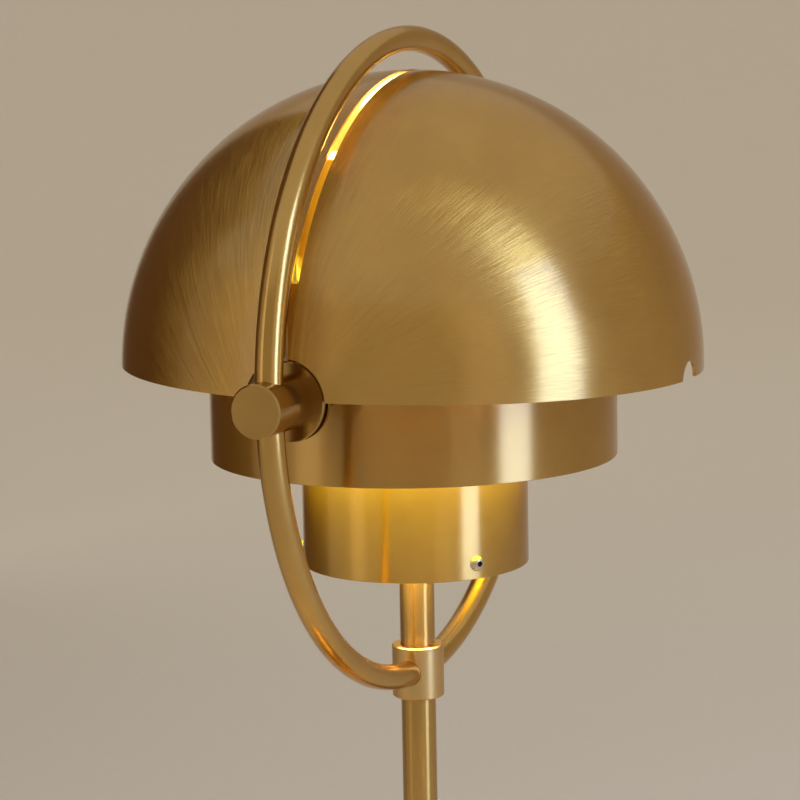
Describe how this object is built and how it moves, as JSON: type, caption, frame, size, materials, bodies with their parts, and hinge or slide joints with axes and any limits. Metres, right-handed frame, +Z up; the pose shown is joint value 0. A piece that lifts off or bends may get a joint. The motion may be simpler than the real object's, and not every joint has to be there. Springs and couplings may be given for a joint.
{
  "type": "portable table lamp",
  "caption": "Cordless table lamp: quarter-sphere shades swing inside a ring round open cylinders, on a slim stem and a weighted round base with a push button.",
  "frame": {"origin": "middle of the foot, on the table", "axes": "+Z up along the stem; the shades turn about an axis along Y; the button is at -Y and the charging socket at +Y"},
  "size_m": [0.1398, 0.1672, 0.3159],
  "materials": {
    "shade_brass": "brushed, lacquered",
    "cylinder_brass": "brushed round the cylinder, lacquered",
    "tube_brass": "satin, lacquered",
    "turned_brass": "fine turned, lacquered",
    "base_brass": "brushed in circles, lacquered",
    "steel": "zinc plated",
    "screw_nickel": "nickel plated",
    "cast_zinc": "as cast",
    "aluminium": "matt anodised",
    "led_board": "white solder mask",
    "opal": "opal, lit from inside",
    "lead_sheath": "matt",
    "rubber": "matt",
    "iron": "as cast",
    "base_plate": "black powder coat",
    "battery_film": "shrink film",
    "circuit": "green solder mask",
    "black_plastic": "fine grain",
    "plunger": "natural nylon"
  },
  "bodies": {
    "lamp": {"ring": "tube_brass", "collar": "turned_brass", "stem": "tube_brass", "knob_front": "turned_brass", "knob_rear": "turned_brass", "cover_disc_front": "turned_brass", "cover_disc_rear": "turned_brass", "clamp_disc_front": "turned_brass", "clamp_disc_rear": "turned_brass", "spring_washer_front": "steel", "spring_washer_rear": "steel", "axle_front": "steel", "axle_rear": "steel", "outer_spacer_front": "turned_brass", "outer_spacer_rear": "turned_brass", "inner_spacer_front": "turned_brass", "inner_spacer_rear": "turned_brass", "axle_nuts": "steel", "large_cylinder": "cylinder_brass", "small_cylinder": "cylinder_brass", "cylinder_screws": "screw_nickel", "lamp_bracket": "cast_zinc", "grub_screws": "steel", "heat_sink": "aluminium", "led_board": "led_board", "diffuser": "opal", "lamp_lead": "lead_sheath", "base_shell": "base_brass", "base_weight": "iron", "base_plate": "base_plate", "base_screws": "steel", "foot_ring": "rubber", "stem_nipple": "steel", "stem_nut": "steel", "battery_left": "battery_film", "battery_right": "battery_film", "control_board": "circuit", "charge_socket": "steel", "switch_body": "black_plastic", "button_bezel": "black_plastic"},
    "shade_right": {"shade_right": "shade_brass"},
    "shade_left": {"shade_left": "shade_brass"},
    "button": {"button": "turned_brass", "switch_plunger": "plunger"}
  },
  "joints": [
    {"name": "shade_right_pivot", "type": "hinge", "parent": "lamp", "child": "shade_right", "pos_m": [0, 0, 0.235], "axis": [0, 1, 0], "range_deg": [0, 85.2]},
    {"name": "shade_left_pivot", "type": "hinge", "parent": "lamp", "child": "shade_left", "pos_m": [0, 0, 0.235], "axis": [0, -1, 0], "range_deg": [0, 87.8]},
    {"name": "button_press", "type": "slide", "parent": "lamp", "child": "button", "axis": [0, 0, -1], "range_m": [0, 0.0006], "stiffness_N_per_m": 1000, "springref_m": -0.0008}
  ]
}
